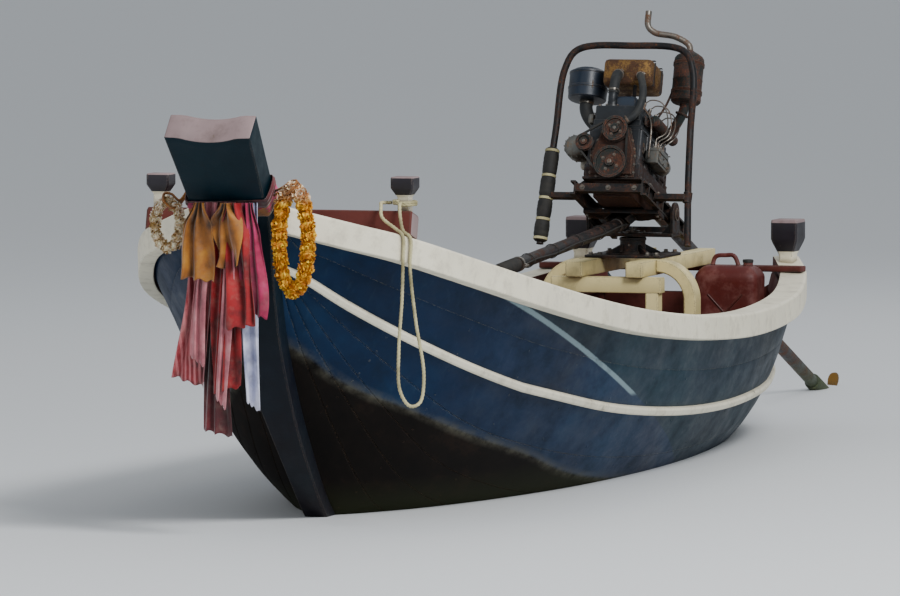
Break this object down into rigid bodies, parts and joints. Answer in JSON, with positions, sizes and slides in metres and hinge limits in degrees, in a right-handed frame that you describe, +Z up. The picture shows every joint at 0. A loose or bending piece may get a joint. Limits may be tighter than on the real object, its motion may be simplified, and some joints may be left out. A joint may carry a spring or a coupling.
{
  "type": "wooden longtail boat",
  "caption": "Small wooden longtail fishing boat with a raked stem board, garlands on the bow and a swinging engine with a long propeller shaft at the stern.",
  "frame": {"origin": "on the waterline amidships, on the centreline", "axes": "+X towards the bow, +Y to port, +Z up"},
  "size_m": [10.4233, 2.0062, 2.4325],
  "materials": {
    "hull_blue": "blue gloss paint, weathered",
    "hull_bottom": "dark bottom paint",
    "cream_paint": "cream gloss paint, worn",
    "oxide_paint": "red oxide paint",
    "bare_boards": "bare worn boards",
    "stem_paint": "dark navy green gloss paint",
    "dark_tip": "dark purple paint, worn",
    "steel": "dark paint, rusting",
    "engine_iron": "rusty and oily",
    "engine_fittings": "worn dark paint",
    "bronze": "dull bronze",
    "can_paint": "red brown paint, worn",
    "cloth": "satin ribbons in red, pink, gold and white, faded",
    "yellow_flowers": "yellow flower heads",
    "white_flowers": "cream flower heads",
    "rope": "thin laid rope, yellowish"
  },
  "bodies": {
    "hull": {"topside_planking_fore_port": "hull_blue", "topside_planking_fore_starboard": "hull_blue", "topside_planking_aft_port": "hull_blue", "topside_planking_aft_starboard": "hull_blue", "sheer_planking_port": "hull_blue", "sheer_planking_starboard": "hull_blue", "transom": "hull_blue", "bottom_planking_fore_port": "hull_bottom", "bottom_planking_fore_starboard": "hull_bottom", "bottom_planking_aft_port": "hull_bottom", "bottom_planking_aft_starboard": "hull_bottom", "keel": "hull_bottom", "engine_trestle": "cream_paint", "gunwale_port": "cream_paint", "gunwale_starboard": "cream_paint", "rub_strake_port": "cream_paint", "rub_strake_starboard": "cream_paint", "engine_bearer_port": "cream_paint", "engine_bearer_starboard": "cream_paint", "bed_knee_port": "cream_paint", "bed_knee_starboard": "cream_paint", "bow_post_port": "cream_paint", "bow_post_starboard": "cream_paint", "ribs_fore_port": "oxide_paint", "ribs_fore_starboard": "oxide_paint", "ribs_aft_port": "oxide_paint", "ribs_aft_starboard": "oxide_paint", "floor_timbers": "oxide_paint", "bow_deck": "oxide_paint", "stern_deck": "oxide_paint", "thwart_fore": "oxide_paint", "thwart_middle": "oxide_paint", "engine_beam_stern": "oxide_paint", "bow_crossbeam": "oxide_paint", "floorboards": "bare_boards", "stem_board": "stem_paint", "stern_post_port": "dark_tip", "stern_post_starboard": "dark_tip", "turret_base": "steel", "fuel_can": "can_paint", "stem_cloth": "cloth", "garland_yellow": "yellow_flowers", "garland_white": "white_flowers", "rope_loop": "rope", "rope_hitch": "rope"},
    "swivel": {"swivel_yoke": "steel"},
    "engine": {"cradle": "steel", "engine_block": "engine_iron", "cylinder_head": "engine_iron", "bell_housing": "engine_iron", "front_drive": "engine_iron", "alternator": "engine_fittings", "exhaust": "engine_iron", "air_cleaner": "engine_fittings", "header_tank": "engine_fittings", "guard_hoop": "steel", "tiller": "steel", "shaft_tube": "steel", "tail_bearing": "steel"},
    "screw": {"propeller": "bronze"}
  },
  "joints": [
    {"name": "engine_yaw", "type": "hinge", "parent": "hull", "child": "swivel", "pos_m": [-2.5, 0, 0.95], "axis": [0, 0, 1], "range_deg": [-18, 18]},
    {"name": "engine_tilt", "type": "hinge", "parent": "swivel", "child": "engine", "pos_m": [-2.5, 0, 1.08], "axis": [0, 1, 0], "range_deg": [-4, 6]},
    {"name": "propeller_spin", "type": "hinge", "parent": "engine", "child": "screw", "pos_m": [-6.26604, 0, -0.08455], "axis": [0.9455, 0, 0.3256], "continuous": true}
  ]
}
